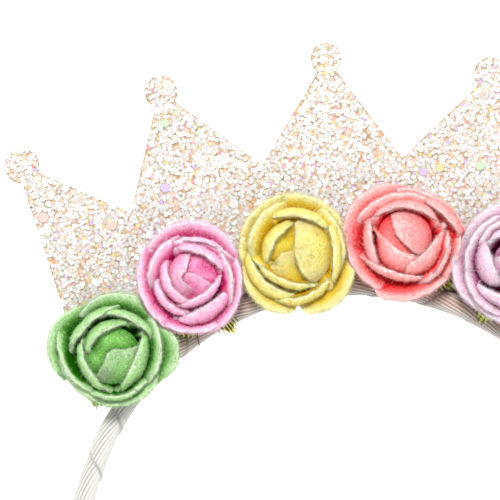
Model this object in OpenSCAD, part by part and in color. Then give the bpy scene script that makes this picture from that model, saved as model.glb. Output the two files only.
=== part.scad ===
// Mini crown headband: a ribbon-wound alice band, a glitter crown sheet behind its top and a row of
// six felt roses with small woven leaves where band and sheet meet.
// It lies on its back: +X to the wearer's left, +Y to the crown's tips, +Z out of the crown's front.

/* [Headband] */
// Inner radius of the arch
band_inner_r = 66.5; // [60:0.5:75]
// Depth of the wound band, measured outward from the head
band_depth = 4.8; // [4:0.2:6]
// Thickness of the wound band from back to front
band_thick = 3.6; // [3:0.2:4.4]
// Length of each leg below the half circle
leg_len = 54; // [35:1:70]
// Radius of the inward curve of the legs
leg_curve_r = 120; // [90:5:300]
// Ribbon advance for each turn
wind_pitch = 13; // [9:0.5:18]
// Height of the step where one turn of ribbon laps the last
wind_step = 0.3; // [0.1:0.05:0.4]

/* [Crown sheet] */
// Thickness of the crown sheet
sheet_thick = 1.8; // [1:0.1:3]
// Distance of the spikes' centre point below the arch's centre
fan_drop = 16.2; // [0:0.2:30]
// Distance from the spikes' centre point to the tip discs
tip_r = 142; // [130:0.5:155]
// Distance from the spikes' centre point to the valleys
valley_r = 117.4; // [110:0.2:122]
// Diameter of the middle tip disc
tip_d = 7.5; // [6:0.1:10]
// Growth of the tip disc from each spike to the next one outward
tip_d_step = 0.5; // [0:0.1:1]
// Growth of the neck on a spike's outer side from each spike to the next one outward
neck_step = 0.6; // [0:0.1:1.2]
// Distance from the spikes' centre point to the side corners
hip_r = 92.6; // [85:0.2:98]
// Angle of the side corners from the middle spike
hip_angle = 44.2; // [42:0.2:48]
// Angle of the sheet's lower corners at the arch's centre
foot_angle = 50; // [45:0.5:54]
// Width of the sheet that is glued to the back of the band
glue_lap = 3; // [1.5:0.1:4.5]

/* [Roses] */
// Nominal radius of a rose, which the petal tables share out
rose_r = 15.1; // [13:0.1:16]
// Thickness of the petal felt
felt_thick = 1.3; // [1:0.1:1.5]
// Height of the inner petals' rims above the sheet
inner_h = 13.2; // [10:0.1:15]
// Height of the middle petals' rims above the sheet
middle_h = 12.6; // [10:0.1:14]
// Height of the outer petals' rims above the sheet
outer_h = 10.8; // [9:0.1:12]
// Height of the bud's top above the sheet
bud_h = 13.4; // [10:0.1:15]
// Radius of the middle petals' glued base
base_r = 5.5; // [5.4:0.05:5.8]
// Clearance between neighbouring pieces of felt
felt_gap = 0.28; // [0.15:0.01:0.35]
// Clearance between glued pieces
seat_gap = 0.15; // [0.1:0.01:0.25]

/* [Leaves] */
// Thickness of the folded woven leaf ribbon
leaf_thick = 0.8; // [0.6:0.1:1.2]
// Distance from a rose's centre to its leaves' roots
leaf_root_r = 8.8; // [8.6:0.1:9.5]

/* [Hidden] */
$fn = 48;
band_mid_r = band_inner_r + band_depth / 2;
band_outer_r = band_inner_r + band_depth;
band_back = sheet_thick + seat_gap;
band_front = band_back + band_thick + 2 * wind_step;
leg_turn = leg_len / leg_curve_r * 180 / PI;
rose_floor = sheet_thick + seat_gap;
leaf_floor = band_front + seat_gap;

// Spikes from the viewer's left to right: angle from the middle one
SPIKE_ANGLES = [33.1, 17.15, 0.1, -16.6, -33.1];
VALLEY_ANGLES = [25.7, 8.6, -8.6, -25.7];

// The arch's centre is this far from the origin, which is the middle of the whole outline
crown_top = tip_r - fan_drop + tip_d / 2;
leg_low = (leg_curve_r + band_depth / 2 + wind_step) * sin(leg_turn);
arch_y = (leg_low - crown_top) / 2;

// Rose centres as polar places about the arch's centre:
// [name, angle from +X, distance beyond the band's outer edge as a share of rose_r, angle of the bud's fold]
ROSES = [
    ["green", 135.7, 0.55, 10],
    ["pink", 116.9, 0.655, 150],
    ["yellow", 97.5, 0.49, 100],
    ["coral", 77.8, 0.59, 330],
    ["lilac", 58.5, 0.85, 120],
    ["far_green", 39.6, 0.765, 170],
];
ROSE_COLORS = ["#7cc065", "#f09cc8", "#eddc62", "#f5808a", "#dcb0d8", "#7cc065"];

// Petals of each rose, anticlockwise: [azimuth, half angle, and the rim's distance from the rose's
// centre at its clockwise end, its middle and its other end, as shares of rose_r]
GREEN_INNER = [[-30, 56, 0.62, 0.45, 0.58], [112, 58, 0.54, 0.40, 0.41], [207, 55, 0.46, 0.50, 0.60]];
GREEN_MIDDLE = [
    [-3, 38, 0.75, 0.77, 0.79], [50, 44, 0.72, 0.64, 0.64], [126, 45, 0.73, 0.64, 0.68],
    [199, 38, 0.80, 0.72, 0.72], [275, 42, 0.75, 0.75, 0.75],
];
GREEN_OUTER = [
    [-3, 25, 0.90, 1.05, 0.93], [72, 47, 0.87, 0.93, 0.90], [157, 40, 0.90, 1.05, 0.93],
    [219, 36, 0.94, 0.84, 0.85], [293, 42, 0.88, 0.88, 0.86],
];
PINK_INNER = [[-54, 58, 0.48, 0.40, 0.48], [55, 56, 0.53, 0.47, 0.51], [202, 62, 0.46, 0.39, 0.39]];
PINK_MIDDLE = [
    [-64, 50, 0.70, 0.56, 0.62], [0, 40, 0.68, 0.65, 0.66], [75, 46, 0.68, 0.64, 0.61],
    [212, 48, 0.56, 0.55, 0.58],
];
PINK_OUTER = [
    [-25, 42, 0.90, 0.81, 0.79], [77, 62, 0.82, 0.87, 0.83], [197, 50, 0.80, 0.73, 0.80],
    [265, 34, 0.82, 0.88, 0.88],
];
YELLOW_INNER = [
    [-5, 43, 0.60, 0.58, 0.60], [75, 42, 0.59, 0.60, 0.62], [142, 54, 0.52, 0.50, 0.50],
    [240, 54, 0.60, 0.50, 0.58],
];
YELLOW_MIDDLE = [
    [28, 47, 0.74, 0.74, 0.77], [143, 38, 0.79, 0.76, 0.74], [219, 34, 0.76, 0.74, 0.68],
    [269, 44, 0.72, 0.71, 0.73],
];
YELLOW_OUTER = [
    [57, 60, 0.82, 0.90, 0.94], [143, 40, 0.93, 0.95, 0.86], [228, 38, 0.84, 1.00, 0.88],
    [310, 38, 0.88, 1.03, 0.86],
];
CORAL_INNER = [[-41, 57, 0.47, 0.44, 0.60], [83, 56, 0.62, 0.60, 0.62], [217, 75, 0.60, 0.47, 0.54]];
CORAL_MIDDLE = [
    [-35, 36, 0.73, 0.72, 0.72], [25, 36, 0.75, 0.78, 0.78], [92, 58, 0.80, 0.79, 0.82],
    [245, 46, 0.74, 0.64, 0.66],
];
CORAL_OUTER = [
    [-21, 30, 0.86, 0.85, 0.86], [47, 42, 0.90, 0.92, 0.92], [135, 46, 0.93, 1.06, 0.90],
    [209, 36, 0.88, 0.86, 0.84], [278, 42, 0.90, 0.90, 0.86],
];
LILAC_INNER = [
    [-15, 60, 0.53, 0.50, 0.52], [95, 44, 0.53, 0.53, 0.54], [172, 40, 0.56, 0.40, 0.40],
    [237, 44, 0.54, 0.47, 0.53],
];
LILAC_MIDDLE = [
    [20, 44, 0.74, 0.72, 0.74], [102, 38, 0.73, 0.77, 0.74], [160, 34, 0.74, 0.75, 0.76],
    [219, 40, 0.75, 0.70, 0.72], [300, 44, 0.75, 0.72, 0.74],
];
LILAC_OUTER = [
    [-25, 36, 0.86, 0.84, 0.86], [35, 36, 0.90, 0.92, 0.92], [107, 42, 0.96, 1.00, 0.95],
    [185, 42, 0.92, 0.90, 0.87], [262, 42, 0.88, 0.88, 0.92],
];
function mirrored(rows) = [for (i = [len(rows) - 1:-1:0])
    [180 - rows[i][0], rows[i][1], rows[i][4], rows[i][3], rows[i][2]]];
INNER = [GREEN_INNER, PINK_INNER, YELLOW_INNER, CORAL_INNER, LILAC_INNER, mirrored(GREEN_INNER)];
MIDDLE = [GREEN_MIDDLE, PINK_MIDDLE, YELLOW_MIDDLE, CORAL_MIDDLE, LILAC_MIDDLE, mirrored(GREEN_MIDDLE)];
OUTER = [GREEN_OUTER, PINK_OUTER, YELLOW_OUTER, CORAL_OUTER, LILAC_OUTER, mirrored(GREEN_OUTER)];

// Leaves: [rose, azimuth, tip's distance and width as shares of rose_r]
LEAVES = [
    [0, 249, 0.97, 0.40],
    [1, 260, 0.96, 0.55],
    [1, 306, 1.14, 0.40],
    [3, 316, 1.05, 0.50],
    [4, 235, 1.08, 0.55],
];

ring_step = felt_thick + felt_gap;
ACROSS = 6;
UP = 3;
BAND_SIDES = 10;
STEPS_PER_TURN = 4;

ROSE_PARTS = ["bud", "inner_petals", "middle_petals", "outer_petals"];

// Geometry helpers

function polar(r, angle) = [r * cos(angle), r * sin(angle)];
function rose_centre(i) = polar(band_outer_r + ROSES[i][2] * rose_r, ROSES[i][1]) + [0, arch_y];
function through(low, mid, high, u) = mid + (high - low) / 2 * u + ((high + low) / 2 - mid) * u * u;
function bezier(a, b, c, v) = (1 - v) * (1 - v) * a + 2 * v * (1 - v) * b + v * v * c;
function bezier_slope(a, b, c, v) = 2 * (1 - v) * (b - a) + 2 * v * (c - b);

// Outline of the crown sheet

function fan_point(r, angle) = [-r * sin(angle), r * cos(angle) - fan_drop];

// Each spike is a triangle that ends at its tip disc's centre, widened on its outer side to its neck
function neck_point(i, side) = let (a = SPIKE_ANGLES[i])
    fan_point(tip_r, a) + side * abs(i - 2) * neck_step * [cos(a), sin(a)];
SHEET_FOOT = polar(band_mid_r, 90 - foot_angle);
SHEET_OUTLINE = [
    [-SHEET_FOOT[0], SHEET_FOOT[1]],
    fan_point(hip_r, hip_angle),
    for (i = [0:4]) each [
        if (i < 2) neck_point(i, -1),
        fan_point(tip_r, SPIKE_ANGLES[i]),
        if (i > 2) neck_point(i, 1),
        if (i < 4) fan_point(valley_r, VALLEY_ANGLES[i]),
    ],
    fan_point(hip_r, -hip_angle),
    SHEET_FOOT,
];

module crown_sheet() {
    color("#f4ead8") translate([0, arch_y]) difference() {
        union() {
            linear_extrude(sheet_thick) polygon(SHEET_OUTLINE);
            for (i = [0:4])
                translate(fan_point(tip_r, SPIKE_ANGLES[i]))
                    cylinder(d = tip_d + abs(i - 2) * tip_d_step, h = sheet_thick);
        }
        translate([0, 0, -1]) cylinder(r = band_outer_r - glue_lap, h = sheet_thick + 2);
    }
}

// Ribbon-wound band: one sweep along the arch and its legs, whose skin steps up at each lap

arch_len = PI * band_mid_r;
path_len = arch_len + 2 * leg_len;
rings = ceil(path_len / wind_pitch * STEPS_PER_TURN);

function leg_place(s) = let (a = s / leg_curve_r * 180 / PI)
    [[band_mid_r - leg_curve_r + leg_curve_r * cos(a), -leg_curve_r * sin(a)], -a];
function path_place(s) = s < leg_len ? leg_place(leg_len - s)
    : s > leg_len + arch_len
        ? let (p = leg_place(s - leg_len - arch_len)) [[-p[0][0], p[0][1]], 180 - p[1]]
    : let (a = (s - leg_len) / band_mid_r * 180 / PI) [polar(band_mid_r, a), a];
function lap(s, k) = let (t = s / wind_pitch - k / BAND_SIDES) wind_step * (1 - (t - floor(t)));
function band_ring(i) =
    let (s = i / rings * path_len, place = path_place(s), shut = (i == 0 || i == rings) ? 0.6 : 1)
    [for (k = [0:BAND_SIDES - 1])
        let (a = 360 * (k + 0.5) / BAND_SIDES, grow = lap(s, k),
            out = (band_depth / 2 + grow) * shut * cos(a),
            up = (band_thick / 2 + grow) * shut * sin(a),
            xy = place[0] + polar(out, place[1]))
        [xy[0], xy[1] + arch_y, band_back + band_thick / 2 + wind_step + up]];

module band() {
    points = [for (i = [0:rings]) each band_ring(i)];
    sides = [for (i = [0:rings - 1]) for (k = [0:BAND_SIDES - 1])
        let (a = i * BAND_SIDES + k, b = i * BAND_SIDES + (k + 1) % BAND_SIDES) each
        [[a, b, b + BAND_SIDES], [a, b + BAND_SIDES, a + BAND_SIDES]]];
    start = [[for (k = [BAND_SIDES - 1:-1:0]) k]];
    end = [[for (k = [0:BAND_SIDES - 1]) rings * BAND_SIDES + k]];
    color("#f0ebe0") polyhedron(points = points, faces = concat(sides, start, end));
}

// Petals: each is a wall of felt that rises from its own arc of the base ring and flares to its rim

// Ring: [radius and height of the base, height of the rim, flare's guide point as a share of the way out,
// drop of the rim's corners]
INNER_RING = [base_r - ring_step, 0, inner_h, 0.15, 0.10];
MIDDLE_RING = [base_r, 0, middle_h, 0.10, 0.12];
OUTER_RING = [
    base_r + 2 * felt_thick + 4 * felt_gap,
    leaf_floor + leaf_thick + felt_thick / 2 - rose_floor,
    outer_h, 0.35, 0.16,
];
// Share of the ring's height at which the flare's guide point stands
GUIDE_UP = 0.55;
// Extra opening between two petals' corners at the rim, in degrees
CORNER_OPENING = 2;
// Least distance between the rims of two rings, and the angles each side at which it is kept
RIM_STEP = felt_thick * 1.7;
RIM_LOOK = [-12, -6, 0, 6, 12];

// Angle between petal i and the next one, halfway along their lap
function seam(rows, i) =
    let (n = len(rows), here = rows[(i + n) % n], next = rows[(i + 1) % n],
        here_turn = i < 0 ? -360 : 0, next_turn = i + 1 == n ? 360 : 0)
    (here[0] + here_turn + here[1] + next[0] + next_turn - next[1]) / 2;
function past(angle, low) = (angle - low) - 360 * floor((angle - low) / 360);
function owner(rows, angle) =
    [for (i = [0:len(rows) - 1])
        if (past(angle, seam(rows, i - 1)) < seam(rows, i) - seam(rows, i - 1)) i][0];
function row_rim(row, angle) =
    let (u = (past(angle - row[0] + 180, 0) - 180) / row[1])
    rose_r * through(row[2], row[3], row[4], max(-1, min(1, u)));
function rim_at(rows, angle) = row_rim(rows[owner(rows, angle)], angle);
// Room left inside the rings listed in around, the nearest first
function room(around, angle) =
    len(around) == 0 ? 2 * rose_r
    : min([for (look = RIM_LOOK)
        min(rim_at(around[0], angle + look), room(slice_from(around, 1), angle + look))]) - RIM_STEP;
function slice_from(list, start) = [for (i = [start:1:len(list) - 1]) list[i]];

function petal_point(row, around, low, high, ring, s, v, side) =
    let (foot = ring[0],
        edge = asin(felt_gap / 2 / bezier(foot, foot, rose_r * row[3], v)) + CORNER_OPENING * v * v * v,
        angle = low + edge + s * (high - low - 2 * edge),
        rim = min(row_rim(row, angle), room(around, angle)),
        top = ring[1] + (ring[2] - ring[1]) * (1 - ring[4] * pow(2 * s - 1, 2)),
        flare = foot + ring[3] * (rim - foot),
        guide = ring[1] + GUIDE_UP * (top - ring[1]),
        dr = bezier_slope(foot, flare, rim, v),
        dz = bezier_slope(ring[1], guide, top, v),
        off = side * felt_thick / 2 / norm([dr, dz]))
    concat(
        polar(bezier(foot, flare, rim, v) + off * dz, angle),
        [max(0, bezier(ring[1], guide, top, v) - off * dr)]
    );

module petal(rows, around, i, ring) {
    low = seam(rows, i - 1);
    high = seam(rows, i);
    cols = ACROSS + 1;
    sheet = cols * (UP + 1);
    points = [for (side = [1, -1]) for (j = [0:UP]) for (k = [0:ACROSS])
        petal_point(rows[i], around, low, high, ring, k / ACROSS, j / UP, side)];
    walls = [for (j = [0:UP - 1]) for (k = [0:ACROSS - 1])
        let (a = j * cols + k, b = a + 1, c = b + cols, d = a + cols) each [
            [a, c, b], [a, d, c],
            [sheet + a, sheet + b, sheet + c], [sheet + a, sheet + c, sheet + d]]];
    ends = [for (k = [0:ACROSS - 1]) let (a = k, b = k + 1, c = UP * cols + k, d = c + 1) each [
            [a, b, sheet + b], [a, sheet + b, sheet + a],
            [c, sheet + d, d], [c, sheet + c, sheet + d]]];
    sides = [for (j = [0:UP - 1]) let (a = j * cols, b = a + cols, c = a + ACROSS, d = b + ACROSS) each [
            [a, sheet + b, b], [a, sheet + a, sheet + b],
            [c, d, sheet + d], [c, sheet + d, sheet + c]]];
    polyhedron(points = points, faces = concat(walls, ends, sides));
}

module petals(i, rows, around, ring) {
    color(ROSE_COLORS[i]) translate(concat(rose_centre(i), [rose_floor]))
        for (k = [0:len(rows) - 1]) petal(rows, around, k, ring);
}

module inner_petals(i) { petals(i, INNER[i], [MIDDLE[i], OUTER[i]], INNER_RING); }
module middle_petals(i) { petals(i, MIDDLE[i], [OUTER[i]], MIDDLE_RING); }
module outer_petals(i) { petals(i, OUTER[i], [], OUTER_RING); }

// Bud: a rolled cone of felt that fills the inner petals, with a domed top and the roll's lap cut as a
// shallow curved groove

// Share of the way up at which the dome starts
SHOULDER = 0.8;
FOLD_W = 0.6;
FOLD_DEEP = 0.9;

function bud_side(i, v) =
    let (foot = INNER_RING[0],
        rim = min([for (row = INNER[i]) each [row[2], row[3], row[4]]]) * rose_r,
        flare = foot + INNER_RING[3] * (rim - foot))
    [bezier(foot, flare, rim, v) - felt_thick * 0.55 - felt_gap, bezier(0, GUIDE_UP * inner_h, inner_h, v)];

module bud(i) {
    shoulder = bud_side(i, SHOULDER);
    dome_h = bud_h - shoulder[1];
    color(ROSE_COLORS[i]) translate(concat(rose_centre(i), [rose_floor])) difference() {
        rotate_extrude() polygon(concat(
            [[0, 0]],
            [for (v = [0:0.2:SHOULDER - 0.01]) bud_side(i, v)],
            [for (a = [0:18:90]) [shoulder[0] * cos(a), shoulder[1] + dome_h * sin(a)]]
        ));
        rotate(ROSES[i][3]) translate([-shoulder[0] * 0.25, 0, bud_h - FOLD_DEEP])
            rotate_extrude(angle = 190) translate([shoulder[0] * 0.38, 0]) square([FOLD_W, FOLD_DEEP + 1]);
    }
}

// Leaves: pointed ovals of folded ribbon, tucked under the outer petals on the band's front

module leaf(row) {
    length = rose_r * row[2] - leaf_root_r;
    width = rose_r * row[3];
    bow_r = (length * length + width * width / 4) / width;
    color("#8a8f1a") translate(concat(rose_centre(row[0]), [leaf_floor])) rotate(row[1])
        translate([leaf_root_r, 0]) linear_extrude(leaf_thick) intersection() {
            translate([0, width / 2 - bow_r]) circle(r = bow_r);
            translate([0, bow_r - width / 2]) circle(r = bow_r);
            translate([0, -width]) square([length, 2 * width]);
        }
}

crown_sheet();
band();
for (i = [0:len(ROSES) - 1]) {
    bud(i);
    inner_petals(i);
    middle_petals(i);
    outer_petals(i);
}
for (i = [0:len(LEAVES) - 1]) {
    leaf(LEAVES[i]);
}
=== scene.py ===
# Mini crown headband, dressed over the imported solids: glitter crown sheet, ribbon-wound band,
# six felt roses and the woven leaves that show between them.
import math

import bmesh
import bpy
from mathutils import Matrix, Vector, noise


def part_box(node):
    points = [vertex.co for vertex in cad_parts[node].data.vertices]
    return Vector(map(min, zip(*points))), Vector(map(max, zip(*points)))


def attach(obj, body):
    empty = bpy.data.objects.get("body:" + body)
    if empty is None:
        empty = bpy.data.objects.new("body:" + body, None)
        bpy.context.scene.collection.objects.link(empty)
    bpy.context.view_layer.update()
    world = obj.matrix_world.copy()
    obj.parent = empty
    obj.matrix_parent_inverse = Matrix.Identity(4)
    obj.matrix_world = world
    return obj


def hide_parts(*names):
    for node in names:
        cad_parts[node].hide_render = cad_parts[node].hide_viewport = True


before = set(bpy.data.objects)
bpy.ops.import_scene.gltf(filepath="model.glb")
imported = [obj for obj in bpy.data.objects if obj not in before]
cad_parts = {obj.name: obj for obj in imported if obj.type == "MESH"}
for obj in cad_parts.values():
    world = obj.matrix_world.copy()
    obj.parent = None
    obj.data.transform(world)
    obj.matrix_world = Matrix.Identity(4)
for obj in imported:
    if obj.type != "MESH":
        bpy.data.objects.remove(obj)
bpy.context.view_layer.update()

# Camera, floor and light
# The headband lies on its back on a white table. A long lens looks straight down on the crown's left
# part, turned 2.9 degrees, and a bright soft light from the upper left leaves the table white.

MM = 0.001
VIEW_CENTRE = (-21.7 * MM, 40.8 * MM)
VIEW_WIDTH = 125 * MM
VIEW_HEIGHT = 800 * MM
VIEW_TURN = math.radians(-2.9)
SHEET_LEVEL = 2 * MM
SENSOR_WIDTH = 36
TABLE_HALF = 3
TABLE_Z = -0.05 * MM
TABLE_GLOW = 0.70
SKY_STRENGTH = 0.65
# Lamps: place and width in metres, power in watts
LAMPS = {
    "key_light": ((-0.10, 0.62, 1.00), 0.30, 18.5),
    "fill_light": ((0.55, -0.35, 1.00), 0.60, 3.3),
}
LAMP_AIM = Vector((-0.01, 0.03, 0))


def colour(code):
    values = [int(code[k:k + 2], 16) / 255 for k in (1, 3, 5)]
    return tuple(v / 12.92 if v <= 0.04045 else ((v + 0.055) / 1.055) ** 2.4 for v in values) + (1,)


def add(tree, kind, sockets=(), stops=(), **settings):
    node = tree.nodes.new(kind)
    for name, value in settings.items():
        setattr(node, name, value)
    for name, value in dict(sockets).items():
        if isinstance(value, bpy.types.NodeSocket):
            tree.links.new(value, node.inputs[name])
        else:
            node.inputs[name].default_value = value
    for k, (at, code) in enumerate(stops):
        element = node.color_ramp.elements[k] if k < 2 else node.color_ramp.elements.new(1)
        element.position, element.color = at, colour(code)
    return node


def new_material(name):
    material = bpy.data.materials.new(name)
    material.use_nodes = True
    tree = material.node_tree
    return material, tree, tree.nodes["Principled BSDF"]


def link_new(name, data):
    obj = bpy.data.objects.new(name, data)
    bpy.context.collection.objects.link(obj)
    return obj


def new_object(name, vertices, faces, material, smooth=True):
    mesh = bpy.data.meshes.new(name)
    mesh.from_pydata([tuple(v) for v in vertices], [], faces)
    mesh.materials.append(material)
    mesh.polygons.foreach_set("use_smooth", [smooth] * len(mesh.polygons))
    mesh.update()
    return link_new(name, mesh)


camera_data = bpy.data.cameras.new("photo_camera")
camera_data.sensor_width = SENSOR_WIDTH
camera_data.lens = SENSOR_WIDTH * VIEW_HEIGHT / VIEW_WIDTH
camera_data.clip_start, camera_data.clip_end = 0.01, 10
camera = link_new("photo_camera", camera_data)
camera.location = (*VIEW_CENTRE, SHEET_LEVEL + VIEW_HEIGHT)
camera.rotation_euler = (0, 0, VIEW_TURN)
bpy.context.scene.camera = camera

# Matt white paint, which glows a little so that it reads as pure white round the object
table_paint, tree, shader = new_material("white_table")
shader.inputs["Base Color"].default_value = colour("#f3f3f3")
shader.inputs["Roughness"].default_value = 0.7
shader.inputs["Emission Color"].default_value = colour("#ffffff")
shader.inputs["Emission Strength"].default_value = TABLE_GLOW
table_corners = [(x * TABLE_HALF, y * TABLE_HALF, TABLE_Z) for x, y in ((-1, -1), (1, -1), (1, 1), (-1, 1))]
table = new_object("table", table_corners, [(0, 1, 2, 3)], table_paint, smooth=False)

world = bpy.data.worlds.new("studio")
bpy.context.scene.world = world
world.use_nodes = True
world.node_tree.nodes["Background"].inputs["Color"].default_value = colour("#ffffff")
world.node_tree.nodes["Background"].inputs["Strength"].default_value = SKY_STRENGTH
bpy.context.scene.view_settings.view_transform = "Standard"
for name, (place, width, power) in LAMPS.items():
    lamp_data = bpy.data.lights.new(name, "AREA")
    lamp_data.size = width
    lamp_data.energy = power
    lamp = link_new(name, lamp_data)
    lamp.location = place
    lamp.rotation_euler = (LAMP_AIM - Vector(place)).to_track_quat("-Z", "Y").to_euler()

# Crown sheet
# A card cut to five spikes with disc tips, coated with glue and chunky hexagonal glitter. The flakes lie
# nearly flat and overlap at random, the white ones over the few pastel ones, and tan glue shows between. Each
# flake's rim is painted darker as painted shade, and the glue's tan partly stands for the shade between flakes.

# Flakes: share of the random draw from which a colour holds, and the colour
FLAKE_COLOURS = (
    (0.00, "#c0c0be"), (0.50, "#c0b8ad"), (0.68, "#c0b3a9"), (0.76, "#c3a89f"), (0.81, "#c4a790"),
    (0.86, "#c2b584"), (0.91, "#b19dc0"), (0.94, "#a8bb9d"), (0.96, "#c58992"), (0.98, "#c7976b"),
)
# Painted shade: the darker brown that each flake's rim is painted
FLAKE_EDGE_SHADE = "#8f7152"
FLAKE_SPACING = 0.52 * MM
FLAKE_R = 0.62 * MM
FLAKE_SIZES = (0.78, 1.18)
FLAKE_MARGIN = 0.20 * MM
FLAKE_TILT = 0.20
# Heights above the sheet of the whitest and the most coloured flakes
FLAKE_LIFTS = (0.34 * MM, 0.08 * MM)
# The most flakes that the scatter tries on a square metre
FLAKES_TRIED = 4e6
# Large flakes: x and y in the frame in mm, radius in mm, place in the colours above
LARGE_FLAKES = (
    (-72.9, 51.5, 1.5, 0.78), (-55.8, 48.6, 1.3, 0.78), (-42.1, 57.4, 1.4, 0.92), (-41.3, 73.6, 1.2, 0.95),
    (36.8, 58.9, 1.3, 0.95), (26.8, 58.9, 1.2, 0.88), (22.5, 58.1, 1.2, 0.92), (-32.5, 73.3, 1.2, 0.1),
    (-67.0, 58.6, 1.2, 0.1), (-25.2, 52.6, 1.4, 0.1),
)
LARGE_LIFT = 0.45
LARGE_SLOPE = 0.05
CUT_BEAD_R = 0.16 * MM
# Lumps of glue and torn fibres along a metre: 0.9 and 1.4 each mm
GLUE_LUMPS = 0.9 / MM
CARD_FIBRES = 1.4 / MM

# Glitter punched from metallised polyester film: glossy under a clear coat; each flake's rim is painted darker brown
# as painted shade
flake_foil, tree, shader = new_material("polyester_glitter_flakes")
tone = add(tree, "ShaderNodeAttribute", attribute_name="flake_tone")
ramp = add(tree, "ShaderNodeValToRGB", {"Fac": tone.outputs["Fac"]}, stops=FLAKE_COLOURS)
ramp.color_ramp.interpolation = "CONSTANT"
# Painted shade: the outer sixth of each flake is painted darker brown, standing for the shade at its edge
rim = add(tree, "ShaderNodeAttribute", attribute_name="flake_rim_shade")
cut = add(tree, "ShaderNodeMapRange", {"Value": rim.outputs["Fac"], "From Min": 0.84, "From Max": 1.0})
edged = add(tree, "ShaderNodeMix", {"Factor": cut.outputs[0], 6: ramp.outputs["Color"], 7: colour(FLAKE_EDGE_SHADE)},
            data_type="RGBA")
tree.links.new(edged.outputs[2], shader.inputs["Base Color"])
shader.inputs["Roughness"].default_value = 0.28
shader.inputs["Coat Weight"].default_value = 0.35
shader.inputs["Coat Roughness"].default_value = 0.12

# Brushed-on craft glue: half matt, tan and lumpy where no flake covers it; its brown-tan tone is partly the
# glue's own colour and partly painted shade between the flakes
glue_card, tree, shader = new_material("glue_coated_card")
place = add(tree, "ShaderNodeTexCoord").outputs["Object"]
mottle = add(tree, "ShaderNodeTexNoise", {"Vector": place, "Scale": GLUE_LUMPS, "Detail": 4})
ramp = add(tree, "ShaderNodeValToRGB", {"Fac": mottle.outputs["Fac"]}, stops=((0.35, "#95795b"), (0.65, "#c5b297")))
tree.links.new(ramp.outputs["Color"], shader.inputs["Base Color"])
bump = add(tree, "ShaderNodeBump", {"Height": mottle.outputs["Fac"], "Strength": 0.4, "Distance": 0.2 * MM})
tree.links.new(bump.outputs["Normal"], shader.inputs["Normal"])
shader.inputs["Roughness"].default_value = 0.55

# A thin bead along the card's outline: dull brown with paler streaks
cut_card, tree, shader = new_material("cut_card_edge")
place = add(tree, "ShaderNodeTexCoord").outputs["Object"]
ragged = add(tree, "ShaderNodeTexNoise", {"Vector": place, "Scale": CARD_FIBRES, "Detail": 3})
ramp = add(tree, "ShaderNodeValToRGB", {"Fac": ragged.outputs["Fac"]}, stops=((0.38, "#6f5a48"), (0.62, "#cdbba6")))
tree.links.new(ramp.outputs["Color"], shader.inputs["Base Color"])
shader.inputs["Roughness"].default_value = 0.8

sheet_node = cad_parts["crown_sheet"]
sheet_node.data.materials.clear()
sheet_node.data.materials.append(glue_card)
sheet_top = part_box("crown_sheet")[1].z

# The sheet's top face carries the flakes, and its outline the cut edge
top_bm = bmesh.new()
top_bm.from_mesh(sheet_node.data)
bmesh.ops.remove_doubles(top_bm, verts=top_bm.verts, dist=0.001 * MM)
lower_faces = [face for face in top_bm.faces if face.calc_center_median().z < sheet_top - 0.01 * MM]
bmesh.ops.delete(top_bm, geom=lower_faces, context="FACES")
flakes_mesh = bpy.data.meshes.new("glitter_flakes")
top_bm.to_mesh(flakes_mesh)
top_bm.free()
flakes = link_new("glitter_flakes", flakes_mesh)
cut_edge = link_new("cut_edge", flakes_mesh.copy())


def new_growth(name, **inputs):
    tree = bpy.data.node_groups.new(name, "GeometryNodeTree")
    for label, kind in {"Geometry": "Geometry", **inputs}.items():
        tree.interface.new_socket(label.replace("_", " "), in_out="INPUT", socket_type="NodeSocket" + kind)
    tree.interface.new_socket("Geometry", in_out="OUTPUT", socket_type="NodeSocketGeometry")
    return tree, add(tree, "NodeGroupInput").outputs


tree, given = new_growth("scattered_flakes", Spacing="Float", Flake_radius="Float", Edge_margin="Float",
                         Tilt="Float", Seed="Int", Finish="Material")
sides = add(tree, "GeometryNodeInputMeshEdgeNeighbors")
is_rim = add(tree, "FunctionNodeCompare", {"A": sides.outputs[0], "B": 1}, data_type="INT", operation="EQUAL")
outline = add(tree, "GeometryNodeSeparateGeometry",
              {"Geometry": given["Geometry"], "Selection": is_rim.outputs[0]}, domain="EDGE")
scatter = add(tree, "GeometryNodeDistributePointsOnFaces",
              {"Mesh": given["Geometry"], "Distance Min": given["Spacing"], "Density Max": FLAKES_TRIED,
               "Seed": given["Seed"]}, distribute_method="POISSON")
rim_near = add(tree, "GeometryNodeProximity", {0: outline.outputs["Selection"]}, target_element="EDGES")
too_near = add(tree, "FunctionNodeCompare", {0: rim_near.outputs["Distance"], 1: given["Edge margin"]},
               data_type="FLOAT", operation="LESS_THAN")
kept = add(tree, "GeometryNodeDeleteGeometry",
           {"Geometry": scatter.outputs["Points"], "Selection": too_near.outputs[0]}, domain="POINT")
hexagon = add(tree, "GeometryNodeMeshCircle", {"Vertices": 6, "Radius": given["Flake radius"]},
              fill_type="TRIANGLE_FAN")
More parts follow.
